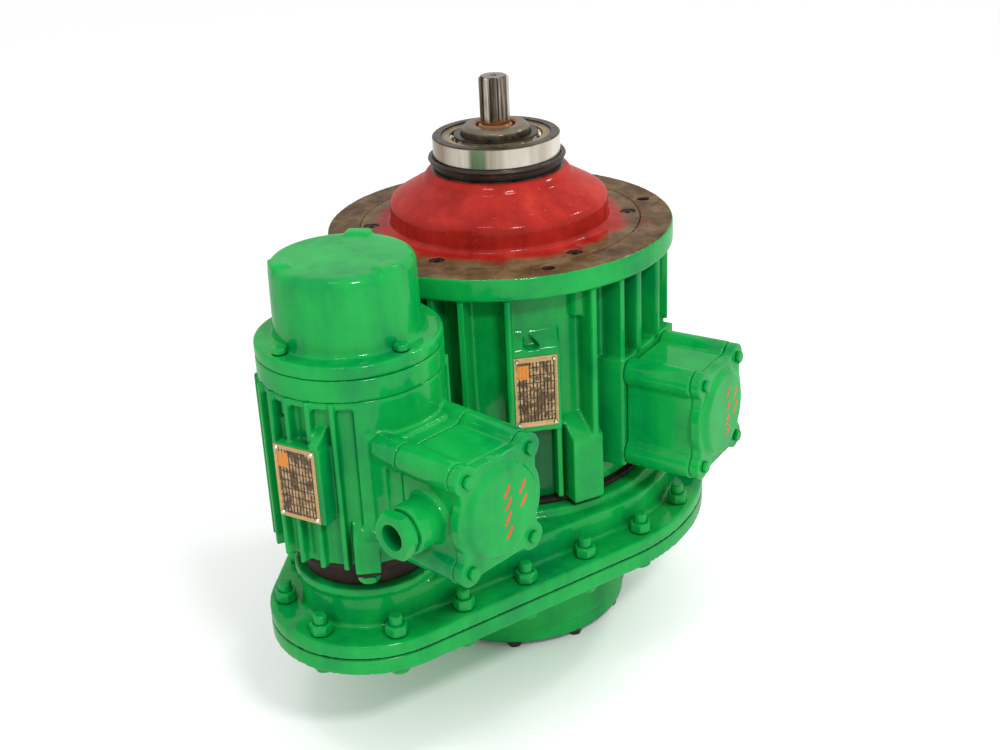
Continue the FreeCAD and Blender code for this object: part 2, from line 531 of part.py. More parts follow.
# ---------------------------------------------------------------- creep-speed motor
def aux_frame():
    body = [tube(AUX_BORE, AUX_WALL_R, AUX_FRAME_LOW, AUX_FRAME_TOP, AUX),
            tube(AUX_BORE, AUX_FLANGE_R - 1, AUX_FRAME_TOP - 7, AUX_FRAME_TOP, AUX)]
    for angle in spaced(AUX_FIN_START, 24):
        from_box = abs((angle - AUX_BOX_ANGLE + 180) % 360 - 180)
        if from_box > AUX_PLAIN:
            body.append(rib(AUX_WALL_R - 2, AUX_FIN_R, 4.6, AUX_FRAME_LOW, AUX_FRAME_TOP, angle, AUX))
    foot, height = V(AUX[0], AUX[1], AUX_FRAME_LOW + 4), AUX_FRAME_TOP - AUX_FRAME_LOW - 6
    plain = Part.makeCylinder(AUX_FIN_R - 3, height, foot, UP, 2 * AUX_PLAIN - 4)
    body.append(turn(plain, AUX_BOX_ANGLE - AUX_PLAIN + 2, AUX))
    for angle in spaced(AUX_FOOT_ANGLE, AUX_FEET):
        body.append(gusset(AUX_WALL_R - 3, AUX_FIN_R + 6.5, 21, AUX_FRAME_LOW, -158, -172, angle, AUX))
    body.append(slab((AUX[0] - 86.5, AUX[0] - AUX_WALL_R + 3), (-25, 20.5), (-156, -88.5)))
    ear = gusset(AUX_WALL_R - 3, 86.5, 9, -90, -72, -84, 180, AUX)
    body.append(ear.translated(V(0, -19, 0)))
    boss = joined([slab((-46, 46), (58, AUX_BOX_SEAT - 14), (AUX_BOX_Z - 50, AUX_BOX_Z + 50)),
                   slab((-42, 42), (80, AUX_BOX_SEAT), (AUX_BOX_Z - 47, AUX_BOX_Z + 47))])
    columns = [along(13, 70, AUX_BOX_SEAT, u, w) for u, w in box_corners(AUX_BOX_Z)]
    body.append(box_frame(joined([boss] + columns), AUX_BOX_ANGLE, AUX))
    holes = [disc(AUX_BORE, AUX_FRAME_LOW - 1, AUX_FRAME_TOP + 1, AUX)]
    holes += [disc(5.2, AUX_FRAME_LOW - 1, -180, polar(AUX_FOOT_R, a, AUX))
              for a in spaced(AUX_FOOT_ANGLE, AUX_FEET)]
    holes += [disc(4.2, -75, AUX_FRAME_TOP + 1, polar(AUX_COVER_BOLT_R, a, AUX)) for a in AUX_COVER_ANGLES]
    holes.append(box_frame(along(8, 55, AUX_BOX_SEAT + 1, 0, AUX_BOX_Z - 32), AUX_BOX_ANGLE, AUX))
    return drilled(joined(body), holes + plate_pins(AUX_PLATE, 1.1, 5))


def aux_end_shield():
    (r_top, top), (r_low, low) = AUX_CONE
    shield = turned([(14, -68), (30, -68), (34, AUX_FRAME_TOP - 3), (AUX_BORE - FIT, AUX_FRAME_TOP - 3),
                     (AUX_BORE - FIT, AUX_FRAME_TOP), (AUX_FLANGE_R, AUX_FRAME_TOP),
                     (AUX_FLANGE_R, AUX_SHIELD_TOP),
                     (r_top, AUX_SHIELD_TOP), (r_top, top), (r_low, low), (14, low)], AUX)
    holes = [disc(26 + FIT, -66, low + 1, AUX)]
    holes += [disc(4.6, -60, AUX_SHIELD_TOP + 1, polar(AUX_COVER_BOLT_R, a, AUX)) for a in AUX_COVER_ANGLES]
    return drilled(shield, holes)


def aux_brake_cover():
    """Cap over the brake of the creep motor, with three low lugs round its top edge."""
    cap = turned([(0, CAP_TOP), (54, CAP_TOP), (58.6, CAP_TOP - 1.6), (60.6, CAP_TOP - 6), (CAP_R, -14),
                  (63.5, AUX_COVER_TOP), (AUX_FLANGE_R - 1, AUX_COVER_TOP),
                  (AUX_FLANGE_R, AUX_COVER_TOP - 1),
                  (AUX_FLANGE_R, AUX_SHIELD_TOP), (57, AUX_SHIELD_TOP), (55.5, CAP_TOP - 6),
                  (0, CAP_TOP - 6)], AUX)
    lugs = []
    for a in spaced(20, 3):
        block = rib(40, 60.2, 22, CAP_TOP - 14, CAP_TOP + 3, a, AUX)
        ring = tube(46, 60.2, CAP_TOP - 20, CAP_TOP + 5, AUX)
        lugs.append(block.common(ring))
    room = disc(55.5, CAP_TOP - 30, CAP_TOP - 6, AUX)
    spots = [polar(AUX_COVER_BOLT_R, a, AUX) for a in AUX_COVER_ANGLES]
    pads = [disc(8, AUX_COVER_TOP - 1, AUX_COVER_TOP + 1.5, spot) for spot in spots]
    cover = joined([cap] + lugs + pads).cut(room)
    holes = [disc(4.6, -40, AUX_COVER_TOP + 9, spot).cut(disc(CAP_R, -40, 0, AUX)) for spot in spots]
    return drilled(cover, holes)


def aux_cover_bolt(at):
    return joined([hexagon(12, AUX_COVER_TOP + 1.5, AUX_COVER_TOP + 7, at, 15),
                   disc(4, -70, AUX_COVER_TOP + 2, at)])


def aux_lower_shield():
    shield = turned([(14, -244), (40 - FIT, -244), (40 - FIT, AUX_BOSS_TOP), (58, AUX_BOSS_TOP),
                     (58, -216), (63, -212),
                     (68.5, -211), (68.5, AUX_FRAME_LOW), (AUX_BORE - FIT, AUX_FRAME_LOW),
                     (AUX_BORE - FIT, -198),
                     (54, -198), (50, -210), (26 + FIT, -210), (26 + FIT, -229), (14, -229)], AUX)
    ears = [rib(60, 87, 19, -207, AUX_FRAME_LOW, a, AUX) for a in spaced(AUX_FOOT_ANGLE, AUX_FEET)]
    holes = [disc(5.6, -208, AUX_FRAME_LOW + 1, polar(AUX_FOOT_R, a, AUX))
             for a in spaced(AUX_FOOT_ANGLE, AUX_FEET)]
    holes.append(disc(50, -210, -195, AUX))
    return drilled(joined([shield] + ears), holes)


def aux_shaft():
    """Shaft with the 16-tooth pinion cut on its lower end."""
    shaft = turned([(0, -278), (14, -278), (14, -250), (12.5, -248), (12.5, -200), (15, -198), (15, -85),
                    (12.5, -85),
                    (12.5, -44), (11, -43), (11, -16), (8, -15), (8, 6), (7, 7), (0, 7)], AUX)
    pinion = gear(FIRST["module"], FIRST["pinion"], 180.0 / FIRST["pinion"], -277, -256, AUX)
    return joined([shaft, pinion])


def aux_brake_wheel():
    (r_top, top), (r_low, low) = AUX_CONE
    skin = APART + 3
    return turned([(11 + FIT, -42), (20, -42), (20, -38), (r_low - skin - 6, -38),
                   (r_low - skin - 5, low + 1.2),
                   (r_low - skin + 0.3, low + 1.2), (r_top - skin, top), (r_top - skin, -22),
                   (r_top - skin - 6, -22),
                   (r_low - skin - 6, -31), (20, -31), (20, -18), (11 + FIT, -18)], AUX)


def aux_brake_lining():
    (r_top, top), (r_low, low) = AUX_CONE
    lean = (r_top - r_low) / (top - low)
    foot = r_low + 1.2 * lean
    return turned([(r_top - APART, top), (foot - APART, low + 1.2), (foot - APART - 3, low + 1.2),
                   (r_top - APART - 3, top)], AUX)


# ---------------------------------------------------------------- nameplates
def plate_pins(plate, r, reach):
    """A pin at each corner of a nameplate, from `reach` behind it to just proud of it."""
    across, low, high = plate["width"] / 2 - 3, plate["low"] + 3, plate["high"] - 3
    pins = [Part.makeCylinder(r, reach + 1.5, V(plate["distance"] - reach, side * across, z), V(1, 0, 0))
            for side in (-1, 1) for z in (low, high)]
    return [shifted(turn(pin, plate["angle"]), plate["at"]) for pin in pins]


def nameplate(plate):
    sheet = rib(plate["distance"], plate["distance"] + 1.2, plate["width"], plate["low"], plate["high"],
                plate["angle"])
    return drilled(shifted(sheet, plate["at"]), plate_pins(plate, 1.1, 5))


def plate_rivets(plate):
    across, low, high = plate["width"] / 2 - 3, plate["low"] + 3, plate["high"] - 3
    heads = [Part.makeCone(2.1, 1.3, 1.2, V(plate["distance"] + 1.2, side * across, z), V(1, 0, 0))
             for side in (-1, 1) for z in (low, high)]
    heads = [shifted(turn(head, plate["angle"]), plate["at"]) for head in heads]
    return [joined([head, pin]) for head, pin in zip(heads, plate_pins(plate, 1.0, 4))]


# ---------------------------------------------------------------- write every sub-part
def hex_bolt(tip, seat, head, at, shank_r, flats):
    """Hex bolt with its head below the seat and its shank up to the tip."""
    return joined([hexagon(flats, seat - head, seat, at, 10), disc(shank_r, seat - 1, tip, at)])


def build():
    os.makedirs("parts", exist_ok=True)
    save("main_frame", main_frame())
    save("front_cover", front_cover())
    save("front_cover_screws", [socket_screw(4 - FIT, 6.2, -36, -7.5, -1.5, polar(COVER_SCREW_R, a))
                                for a in spaced(COVER_SCREW_ANGLE, 6)])
    save("drum_bearing_stop_ring", stop_ring())
    inner, outer, balls, cage = drum_bearing()
    save("drum_bearing_inner_ring", inner)
    save("drum_bearing_outer_ring", outer)
    save("drum_bearing_balls", balls)
    save("drum_bearing_cage", cage)

    save("main_shaft", main_shaft())
    save("main_rotor_core", rotor_core(MAIN_ROTOR, 27, 9, MAIN))
    save("main_stator_core", stator_core(MAIN_ROTOR, FRAME_BORE - FIT, 0.9, MAIN))
    save("main_stator_windings", [windings(82, 112, -206, -180, MAIN), windings(74, 112, -52, -27, MAIN)])
    rings, rollers = [], []
    for low in (12.0, -246.0):
        ring, set_of_rollers = roller_bearing(22.5, 6.0, 42.5, low, low + 19, MAIN)
        rings.append(ring)
        rollers += set_of_rollers
    save("main_bearing_outer_rings", rings)
    save("main_bearing_rollers", rollers)
    save("main_spring_collar", tube(23, 41, -29.9, -25, MAIN))
    save("main_brake_spring", coil_spring(38, 2.5, -24.8, 7.6, 4, MAIN))
    save("main_lower_shield", main_lower_shield())

    save("main_brake_wheel", brake_wheel())
    save("main_brake_lining", brake_lining())
    save("main_brake_nut", hexagon(30, -386, -373.5, MAIN).cut(disc(10 + FIT, -387, -370)))
    save("brake_drum", brake_drum())
    save("brake_seat_ring", brake_seat_ring())

    save("gearbox_upper_housing", upper_housing())
    save("gearbox_gasket", gasket())
    save("gearbox_lower_housing", lower_housing())
    save("gearbox_rim_bolts", [rim_bolt(spot, 17 * k) for k, spot in enumerate(stud_spots())])
    save("gearbox_rim_nuts", [rim_nut(spot, 23 * k) for k, spot in enumerate(stud_spots())])
    save("bottom_cover", bottom_cover())
    save("bottom_cover_bolts", [hex_bolt(-374, BOTTOM, 6, spot, 4, 13) for spot in bottom_bolt_spots()])
    save("foot_bolts", [hex_bolt(-195, CAVITY_TOP, 6.4, polar(FOOT_BOLT_R, a), 5, 16)
                        for a in spaced(FOOT_ANGLE, 4)]
         + [hex_bolt(-183, -207, 6.4, polar(AUX_FOOT_R, a, AUX), 5, 16)
            for a in spaced(AUX_FOOT_ANGLE, AUX_FEET)])
    save("gear_hub_bush", tube(HUB_R + FIT, 52, -321, -294))
    save("cluster_bushes", [tube(12 + FIT, 16, -253, -241.5, CLUSTER),
                            tube(12 + FIT, 16, -305.5, -293, CLUSTER)])

    wheel = gear(SECOND["module"], SECOND["wheel"], 0, -291, -275, MAIN)
    ring_cut = turned([(58, -291.5), (108, -291.5), (108, -287), (58, -287)])
    save("large_gear", wheel.cut(disc(45 + FIT, -300, -270)).cut(ring_cut))
    tooth = 180.0 / SECOND["pinion"]
    pinion = gear(SECOND["module"], SECOND["pinion"], tooth, -292, -274.5, CLUSTER)
    body = turned([(0, -304), (12, -304), (12, -290), (16, -290), (16, -260), (12, -258), (12, -243),
                   (0, -243)], CLUSTER)
    save("cluster_shaft", joined([body, pinion]))
    step = 180.0 / FIRST["wheel"]
    big = gear(FIRST["module"], FIRST["wheel"], 180, -272, -261, CLUSTER)
    save("cluster_gear", big.cut(disc(16 + FIT, -280, -250, CLUSTER)))

    save("aux_frame", aux_frame())
    save("aux_end_shield", aux_end_shield())
    save("aux_brake_cover", aux_brake_cover())
    save("aux_cover_bolts", [aux_cover_bolt(polar(AUX_COVER_BOLT_R, a, AUX)) for a in AUX_COVER_ANGLES])
    save("aux_lower_shield", aux_lower_shield())
    save("aux_stator_core", stator_core(AUX_ROTOR, AUX_BORE - FIT, 0.7, AUX))
    save("aux_stator_windings", [windings(40, 58, -192, -172, AUX), windings(36, 58, -90, -72, AUX)])
    save("aux_shaft", aux_shaft())
    save("aux_rotor_core", rotor_core(AUX_ROTOR, 15, 5, AUX))
    rings, rollers = [], []
    for low in (-65.6, -228.0):
        ring, set_of_rollers = roller_bearing(12.5, 3.5, 26, low, low + 15, AUX)
        rings.append(ring)
        rollers += set_of_rollers
    save("aux_bearing_outer_rings", rings)
    save("aux_bearing_rollers", rollers)
    save("aux_spring_collar", tube(13, 24, -84.9, -82, AUX))
    save("aux_brake_spring", coil_spring(18.5, 1.5, -81.8, -68.2, 3, AUX))
    save("aux_brake_wheel", aux_brake_wheel())
    save("aux_brake_lining", aux_brake_lining())

    bolts, blocks, nuts = [], [], []
    for name, angle, seat, face, z, side, at in (
            ("main", MAIN_BOX_ANGLE, MAIN_BOX_SEAT, MAIN_BOX_FACE, MAIN_BOX_Z, -1, MAIN),
            ("aux", AUX_BOX_ANGLE, AUX_BOX_SEAT, AUX_BOX_FACE, AUX_BOX_Z, 1, AUX)):
        save(name + "_terminal_box", box_frame(terminal_box(seat, face, z, side), angle, at))
        save(name + "_terminal_cover", box_frame(terminal_cover(face, z), angle, at))
        bolts += [box_frame(cover_bolt(face, u, w), angle, at) for u, w in box_corners(z)]
        blocks.append(box_frame(terminal_block(seat, z), angle, at))
        nuts.append(box_frame(gland_nut(seat, z, side), angle, at))
    save("terminal_cover_bolts", bolts)
    save("terminal_blocks", blocks)
    save("cable_gland_nuts", nuts)

    save("main_nameplate", nameplate(MAIN_PLATE))
    save("aux_nameplate", nameplate(AUX_PLATE))
    save("nameplate_rivets", plate_rivets(MAIN_PLATE) + plate_rivets(AUX_PLATE))


if __name__ == "__main__":
    build()
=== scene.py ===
"""Looks of a two-speed hoist drive: green enamelled motors and gearbox, red front cover, bare
steel shaft end. Metres, in the drive's own frame: Z is the main shaft line, z = 0 the flange face.
"""
import json
import math
import random

import bmesh
import bpy
from mathutils import Matrix, Vector


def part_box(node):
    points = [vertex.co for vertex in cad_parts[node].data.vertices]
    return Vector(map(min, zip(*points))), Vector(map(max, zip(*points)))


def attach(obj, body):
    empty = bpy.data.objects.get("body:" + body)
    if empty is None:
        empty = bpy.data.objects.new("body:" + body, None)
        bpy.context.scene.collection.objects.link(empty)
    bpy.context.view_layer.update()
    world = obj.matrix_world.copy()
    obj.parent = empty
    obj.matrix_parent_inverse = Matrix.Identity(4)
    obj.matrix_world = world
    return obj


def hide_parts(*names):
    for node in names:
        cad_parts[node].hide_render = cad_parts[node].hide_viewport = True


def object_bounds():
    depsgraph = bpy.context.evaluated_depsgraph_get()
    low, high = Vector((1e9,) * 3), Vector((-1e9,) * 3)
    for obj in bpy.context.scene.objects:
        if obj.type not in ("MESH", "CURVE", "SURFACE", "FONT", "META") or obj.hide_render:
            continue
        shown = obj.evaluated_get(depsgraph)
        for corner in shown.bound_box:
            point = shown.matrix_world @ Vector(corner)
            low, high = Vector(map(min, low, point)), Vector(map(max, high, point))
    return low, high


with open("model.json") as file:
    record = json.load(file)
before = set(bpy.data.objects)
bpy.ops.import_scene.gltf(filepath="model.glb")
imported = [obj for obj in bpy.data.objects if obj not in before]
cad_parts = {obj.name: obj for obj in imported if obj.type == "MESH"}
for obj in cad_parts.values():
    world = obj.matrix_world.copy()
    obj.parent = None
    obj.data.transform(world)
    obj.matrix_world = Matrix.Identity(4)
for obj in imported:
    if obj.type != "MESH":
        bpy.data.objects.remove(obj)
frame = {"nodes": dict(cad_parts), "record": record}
cad_low, cad_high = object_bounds()
slots = {part["node"]: part["material_slot"] for part in frame["record"]["subparts"]}
body_of_node = {node: body for body, nodes in frame["record"]["behaviour"]["bodies"].items()
                for node in nodes}
MM = 0.001
UP = Vector((0, 0, 1))


# ---------------------------------------------------------------- places, worked out from the frame
def middle(node):
    """Centre of a node's box."""
    low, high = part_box(node)
    return (Vector(low) + Vector(high)) / 2


MAIN = Vector((0, 0, 0))
AUX = Vector((middle("aux_shaft").x, middle("aux_shaft").y, 0))
NECK_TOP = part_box("front_cover")[1][2]
BEARING_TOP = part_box("drum_bearing_outer_ring")[1][2]


def outward(node, at):
    """Level direction from a motor's axis to a node, and the direction across it."""
    centre = middle(node)
    out = Vector((centre.x - at.x, centre.y - at.y, 0)).normalized()
    return out, Vector((-out.y, out.x, 0))


# ---------------------------------------------------------------- camera, lights and floor
AZIMUTH, ELEVATION, ROLL = math.radians(-58.6), math.radians(24.5), math.radians(-2.8)
DISTANCE, LENS, ASIDE, HEIGHT = 1.480, 52.98, -0.0072, -0.1653
SENSOR = 36
LIT_POINT = Vector((-0.1, 0, -0.12))
WORLD_STRENGTH = 1.04
FLOOR_SIZE, FLOOR_GREY = 30, 0.93
# each light: name, azimuth and elevation (degrees), distance, size (metres), power (watts)
LIGHTS = [("key", -38, 40, 1.9, (0.30, 0.18), 15), ("right", 46, 40, 2.2, (0.30, 0.20), 9),
          ("left", -80, 62, 2.2, (0.40, 0.16), 5)]


def towards(azimuth, elevation):
    """Unit vector at an azimuth, 0 in front along -Y, and an elevation, both in radians."""
    return Vector((math.sin(azimuth) * math.cos(elevation), -math.cos(azimuth) * math.cos(elevation),
                   math.sin(elevation)))


def add_camera():
    """Camera that looks down at the creep motor's corner, slightly rolled."""
    back = towards(AZIMUTH, ELEVATION)
    right = (-back).cross(UP).normalized()
    up = back.cross(right)
    target = right * ASIDE + UP * HEIGHT
    side = math.cos(ROLL) * right + math.sin(ROLL) * up
    top = -math.sin(ROLL) * right + math.cos(ROLL) * up
    camera = bpy.data.objects.new("camera", bpy.data.cameras.new("camera"))
    camera.data.lens, camera.data.sensor_width = LENS, SENSOR
    turn = Matrix([(side[i], top[i], back[i]) for i in range(3)]).to_4x4()
    camera.matrix_world = Matrix.Translation(target + back * DISTANCE) @ turn
    bpy.context.collection.objects.link(camera)
    bpy.context.scene.camera = camera


def add_light(name, azimuth, elevation, distance, size, power):
    """Area light that looks at the middle of the drive."""
    back = towards(math.radians(azimuth), math.radians(elevation))
    lamp = bpy.data.objects.new(name, bpy.data.lights.new(name, "AREA"))
    lamp.data.shape, lamp.data.size, lamp.data.size_y = "RECTANGLE", size[0], size[1]
    lamp.data.energy = power
    lamp.location = LIT_POINT + back * distance
    lamp.rotation_euler = back.to_track_quat("Z", "Y").to_euler()
    bpy.context.collection.objects.link(lamp)


def add_stage():
    """White surroundings, three soft lights and a pale floor under the drive."""
    world = bpy.data.worlds.new("studio")
    bpy.context.scene.world = world
    world.use_nodes = True
    background = world.node_tree.nodes["Background"]
    background.inputs["Color"].default_value = (1, 1, 1, 1)
    background.inputs["Strength"].default_value = WORLD_STRENGTH
    for light in LIGHTS:
        add_light(*light)
    bpy.ops.mesh.primitive_grid_add(x_subdivisions=2, y_subdivisions=2, size=FLOOR_SIZE,
                                    location=(0, 0, cad_low[2]))
    floor = bpy.context.object
    floor.name = "floor"
    pale, tree, shader = new_material("pale_floor")
    wire(tree, shader, Base_Color=(FLOOR_GREY, FLOOR_GREY, FLOOR_GREY), Roughness=0.9)
    floor.data.materials.append(pale)
    bpy.context.scene.view_settings.view_transform = "Standard"


# ---------------------------------------------------------------- node helpers
def add(tree, kind, inputs=None, **settings):
    """New shader node; a socket given as an input is linked, any other value is set."""
    made = tree.nodes.new(kind)
    for name, value in settings.items():
        setattr(made, name, value)
    for name, value in (inputs or {}).items():
        if isinstance(value, bpy.types.NodeSocket):
            tree.links.new(value, made.inputs[name])
        else:
            made.inputs[name].default_value = value
    return made


def place(tree, stretch=(1, 1, 1)):
    """Object coordinates, which are the drive's own frame in metres."""
    where = add(tree, "ShaderNodeTexCoord").outputs["Object"]
    return add(tree, "ShaderNodeMapping", {"Vector": where, "Scale": stretch}).outputs[0]


def noise(tree, scale, detail=3.0, rough=0.55, stretch=(1, 1, 1)):
    """Cloudy value from 0 to 1."""
    inputs = {"Vector": place(tree, stretch), "Scale": scale, "Detail": detail, "Roughness": rough}
    return add(tree, "ShaderNodeTexNoise", inputs).outputs[0]


def waves(tree, scale, **more):
    """Level bands, one above the other, from 0 to 1."""
    inputs = {"Vector": place(tree), "Scale": scale, **more}
    return add(tree, "ShaderNodeTexWave", inputs, bands_direction="Z").outputs["Fac"]


def ramp(tree, value, *stops):
    """Colour ramp; each stop is (position, colour) or (position, grey)."""
    made = add(tree, "ShaderNodeValToRGB", {"Fac": value})
    points = made.color_ramp.elements
    while len(points) < len(stops):
        points.new(0.5)
    for point, (position, colour) in zip(points, stops):
        point.position = position
        grey = isinstance(colour, (int, float))
        point.color = (colour, colour, colour, 1) if grey else (*colour, 1)
    return made.outputs[0]


def calc(tree, operation, a, b=0.0, clamp=False):
    """One arithmetic step."""
    return add(tree, "ShaderNodeMath", {0: a, 1: b}, operation=operation, use_clamp=clamp).outputs[0]


def plus(tree, a, b):
    return calc(tree, "ADD", a, b)


def times(tree, first, *others):
    """Product of two or more values."""
    product = first
    for value in others:
        product = calc(tree, "MULTIPLY", product, value)
    return product


def wander(tree, value, width):
    """A 0 to 1 value turned into a shift of half the width either way."""
    return times(tree, calc(tree, "SUBTRACT", value, 0.5), width)


def step_up(tree, value, start, end):
    """0 on the start's side, 1 past the end; the end may be the lower of the two."""
    inputs = {"Value": value, "From Min": start, "From Max": end}
    return add(tree, "ShaderNodeMapRange", inputs, clamp=True).outputs[0]


def blend(tree, share, a, b):
    """Colour b over colour a."""
    made = add(tree, "ShaderNodeMix", {0: share}, data_type="RGBA")
    for socket, value in ((6, a), (7, b)):
        if isinstance(value, bpy.types.NodeSocket):
            tree.links.new(value, made.inputs[socket])
        else:
            made.inputs[socket].default_value = (*value, 1)
    return made.outputs[2]


def bump(tree, height, distance, normal=None):
    """Normal of a surface raised by a 0 to 1 height, over another bump if one is given."""
    inputs = {"Height": height, "Distance": distance, "Strength": 1.0}
    if normal:
        inputs["Normal"] = normal
    return add(tree, "ShaderNodeBump", inputs).outputs[0]


def radius_and_height(tree):
    """Distance from the main shaft line, and height."""
    split = add(tree, "ShaderNodeSeparateXYZ", {0: place(tree)})
    x, y = split.outputs[0], split.outputs[1]
    squares = plus(tree, times(tree, x, x), times(tree, y, y))
    return calc(tree, "SQRT", squares), split.outputs[2]


def new_material(name):
    made = bpy.data.materials.new(name)
    made.use_nodes = True
    return made, made.node_tree, made.node_tree.nodes["Principled BSDF"]


def wire(tree, shader, **sockets):
    """Link or set the shader's sockets, named with _ for each space."""
    for name, value in sockets.items():
        socket = shader.inputs[name.replace("_", " ")]
        if isinstance(value, bpy.types.NodeSocket):
            tree.links.new(value, socket)
        elif hasattr(value, "__len__"):
            socket.default_value = (*value, 1)
        else:
            socket.default_value = value


# ---------------------------------------------------------------- materials
GREEN_DARK, GREEN = (0.0, 0.175, 0.046), (0.002, 0.275, 0.046)
GREEN_LIGHT = (0.008, 0.335, 0.056)
RED_DARK, RED, RED_LIGHT = (0.19, 0.008, 0.006), (0.33, 0.016, 0.011), (0.43, 0.036, 0.021)
# DARK_RUST_AND_HOLE_SHADE is dark rust in the flange ramps and also the painted shade in the main
# frame's bolt holes
OIL_BROWN, RUST, DARK_RUST_AND_HOLE_SHADE = (0.098, 0.062, 0.028), (0.23, 0.075, 0.022), (0.045, 0.018, 0.012)
ENAMEL_ROUGH, ENAMEL_COAT, ENAMEL_COAT_ROUGH = 0.26, 0.42, 0.09
# reach of the painted shade that darkens the enamel's corners
SHADE_REACH = 0.030

# each pair is where a tone starts and where it is full
MACHINED_FACE = -0.0011
RED_SPRAY_R = (0.140, 0.112)
# HOLES_*: where the painted shade in the flange's bolt holes sits
HOLES_IN_R, HOLES_OUT_R, HOLES_Z = (0.1395, 0.1400), (0.1550, 0.1545), (-0.0215, -0.0205)
# RECESS_*: where the painted shade in the recess beside the main nameplate sits
RECESS_R, RECESS_Z = (0.1410, 0.1395), (-0.1545, -0.1580)
RECESS_HALF_WIDTH, RECESS_DEPTH = (0.0230, 0.0205), (0.128, 0.130)
CHIPPED_Z = (0.020, 0.004)
COVER_FLANGE_R, COVER_FLANGE_Z = (0.112, 0.126), (0.003, 0.001)
# SCREW_WELL_*: where the painted shade below the cover's flange face starts
SCREW_WELL_R, SCREW_WELL_Z = (0.1125, 0.1135), (-0.0007, -0.0014)
NECK_Z, NECK_BEVEL_R, NECK_RUST_R = (0.0528, 0.0534), (0.0325, 0.0312), (0.0275, 0.0235)
NECK_BEVEL_Z = (NECK_TOP - 0.0045, NECK_TOP - 0.0035)
RING_FACE_Z, RING_STAIN_Y = (BEARING_TOP - 0.0016, BEARING_TOP - 0.0008), (0.004, 0.030)
# SPLINE_VALLEY_R: where the painted shade in the spline valleys starts
SPLINE_VALLEY_R, SPLINE_RUST_Z = (0.0128, 0.0118), (0.106, 0.100)
RULE_PITCH, CROSS_PITCH = 0.0032, 0.0075
PLATE_MARGIN_U, PLATE_MARGIN_V = (0.0178, 0.0170), (0.0300, 0.0292)
SQUARE_U, SQUARE_V = ((-0.0172, -0.0166), (-0.0062, -0.0068)), ((0.0130, 0.0136), (0.0272, 0.0266))


def paint_colour(tree, dark, mid, light):
    """Hand-brushed enamel: broad cloudy tone, painted shade in the corners."""
    broad = noise(tree, 14, 5, 0.6)
    runs = noise(tree, 60, 3, 0.5, (1, 1, 0.18))
    share = plus(tree, times(tree, broad, 0.7), times(tree, runs, 0.3))
    colour = ramp(tree, share, (0.32, dark), (0.5, mid), (0.68, light))
    # painted shade: corners and creases go toward a darker copy of the paint colour, by ambient
    # occlusion
    corners = add(tree, "ShaderNodeAmbientOcclusion", {"Distance": SHADE_REACH}, samples=4)
    corner_shade = times(tree, step_up(tree, corners.outputs["AO"], 0.56, 0.12), 0.70)
    return blend(tree, corner_shade, colour, tuple(0.30 * c for c in dark))


def paint_bump(tree, lump_height=0.0009):
    """Lumpy casting under thick paint, with a fine orange peel."""
    lumps = bump(tree, noise(tree, 55, 3, 0.6), lump_height)
    return bump(tree, noise(tree, 420, 2, 0.5), 0.00012, lumps)


def enamel(name, dark=GREEN_DARK, mid=GREEN, light=GREEN_LIGHT, lump_height=0.0009):
    """Glossy paint with a clear top coat."""
    made, tree, shader = new_material(name)
    wire(tree, shader, Base_Color=paint_colour(tree, dark, mid, light),
         Normal=paint_bump(tree, lump_height),
         Roughness=ramp(tree, noise(tree, 90, 4), (0.3, 0.20), (0.7, 0.36)),
         Specular_IOR_Level=0.0, Coat_Weight=ENAMEL_COAT, Coat_Roughness=ENAMEL_COAT_ROUGH)
    return made


def machined_over(tree, paint, radius, height):
    """Oily brown machined flange face, red towards the cover; also gives the share of bare metal."""
    ragged = wander(tree, noise(tree, 160, 4), 0.0010)
    bare = step_up(tree, plus(tree, height, ragged), MACHINED_FACE, MACHINED_FACE + 0.0004)
    brown = ramp(tree, noise(tree, 30, 4, 0.65), (0.30, DARK_RUST_AND_HOLE_SHADE), (0.5, OIL_BROWN),
                 (0.72, (0.21, 0.13, 0.07)))
    cloudy = plus(tree, radius, wander(tree, noise(tree, 28, 5, 0.7), 0.05))
    spray = times(tree, step_up(tree, cloudy, *RED_SPRAY_R), 0.85)
    brown = blend(tree, spray, brown, (0.30, 0.022, 0.014))
    return blend(tree, bare, paint, brown), bare


def frame_enamel():
    """Green enamel of the main frame: bare flange face, painted shade of a dark rust colour in the bolt
    holes, painted shade in the plate recess.
    """
    made, tree, shader = new_material("main_frame_enamel")
    radius, height = radius_and_height(tree)
    green = paint_colour(tree, GREEN_DARK, GREEN, GREEN_LIGHT)
    colour, bare = machined_over(tree, green, radius, height)
    # painted shade: the bolt holes' insides are coloured dark rust-brown
    hole_shade = times(tree, step_up(tree, radius, *HOLES_IN_R), step_up(tree, radius, *HOLES_OUT_R),
                  step_up(tree, height, *HOLES_Z), calc(tree, "SUBTRACT", 1.0, bare))
    colour = blend(tree, hole_shade, colour, DARK_RUST_AND_HOLE_SHADE)
    where = place(tree)
    depth, aside = (add(tree, "ShaderNodeVectorMath", {0: where, 1: direction},
                        operation="DOT_PRODUCT").outputs["Value"]
                    for direction in outward("main_nameplate", MAIN))
    # painted shade: the recess beside the main nameplate goes near-black green
    recess_shade = times(tree, step_up(tree, radius, *RECESS_R), step_up(tree, height, *RECESS_Z),
                   step_up(tree, calc(tree, "ABSOLUTE", aside), *RECESS_HALF_WIDTH),
                   step_up(tree, depth, *RECESS_DEPTH), 0.7)
    colour = blend(tree, recess_shade, colour, (0.0, 0.020, 0.010))
    wire(tree, shader, Base_Color=colour, Normal=paint_bump(tree),
         Roughness=plus(tree, ENAMEL_ROUGH, times(tree, bare, 0.2)),
         Metallic=times(tree, bare, 0.15), Specular_IOR_Level=0.0,
         Coat_Weight=calc(tree, "SUBTRACT", ENAMEL_COAT, times(tree, bare, 0.30)),
         Coat_Roughness=ENAMEL_COAT_ROUGH)
    return made


